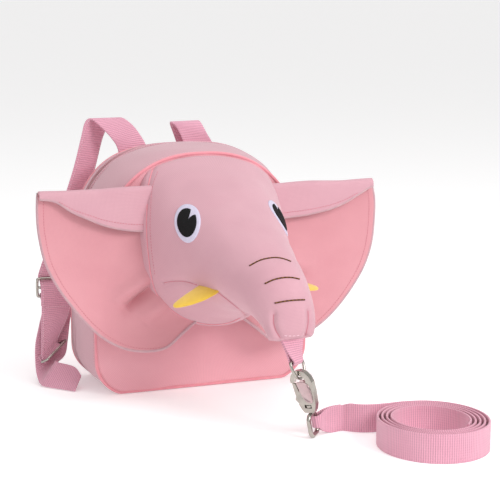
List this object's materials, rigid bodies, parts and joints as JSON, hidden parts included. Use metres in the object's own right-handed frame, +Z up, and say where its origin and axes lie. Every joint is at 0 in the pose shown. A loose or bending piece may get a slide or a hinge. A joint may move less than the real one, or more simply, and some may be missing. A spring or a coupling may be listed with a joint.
{
  "type": "toddler harness backpack with leash",
  "caption": "Small arch-shaped cloth backpack with a stuffed elephant face and big folded ears on its front, webbing shoulder straps and a webbing leash clipped to the trunk by a swivel snap hook.",
  "frame": {"origin": "middle of the bag's bottom, on the floor", "axes": "+Z up, -Y out of the elephant's face, +X to the viewer's right"},
  "size_m": [0.3345, 0.4186, 0.2519],
  "materials": {
    "bag_cloth": "pink woven polyester cloth",
    "face_cloth": "slightly paler pink woven cloth, stuffed",
    "webbing": "ribbed pink webbing",
    "piping": "coral piping cord",
    "zip": "coral zip tape with a nylon coil",
    "eye_white": "white embroidery",
    "pupil_black": "black embroidery",
    "tusk_felt": "yellow felt",
    "nickel": "polished nickel plate"
  },
  "bodies": {
    "bag": {"bag_front_panel": "bag_cloth", "bag_back_panel": "bag_cloth", "bag_base": "bag_cloth", "gusset_front": "bag_cloth", "gusset_back": "bag_cloth", "zip_tape": "zip", "zip_coil": "zip", "zip_slider": "nickel", "front_piping": "piping", "head": "face_cloth", "ear_left": "bag_cloth", "ear_right": "bag_cloth", "eye_white_left": "eye_white", "eye_white_right": "eye_white", "pupil_left": "pupil_black", "pupil_right": "pupil_black", "tusk_left": "tusk_felt", "tusk_right": "tusk_felt", "trunk_tab": "webbing", "d_ring": "nickel", "swivel_eye": "nickel", "leash": "webbing", "shoulder_strap_left": "webbing", "shoulder_strap_right": "webbing", "lower_strap_left": "webbing", "lower_strap_right": "webbing", "strap_slider_left": "nickel", "strap_slider_right": "nickel", "strap_ring_left": "nickel", "strap_ring_right": "nickel"},
    "hook": {"hook_body": "nickel"},
    "gate": {"hook_gate": "nickel"}
  },
  "joints": [
    {"name": "hook_swivel", "type": "hinge", "parent": "bag", "child": "hook", "pos_m": [0.0286, -0.235, 0.0223], "axis": [-0.1889, 0, 0.982], "range_deg": [-25, 5]},
    {"name": "gate_hinge", "type": "hinge", "parent": "hook", "child": "gate", "pos_m": [0.0234, -0.22993, 0.03046], "axis": [0.8037, 0.5746, 0.1546], "range_deg": [0, 34], "stiffness_Nm_per_rad": 0.02, "springref_deg": -22.92}
  ]
}
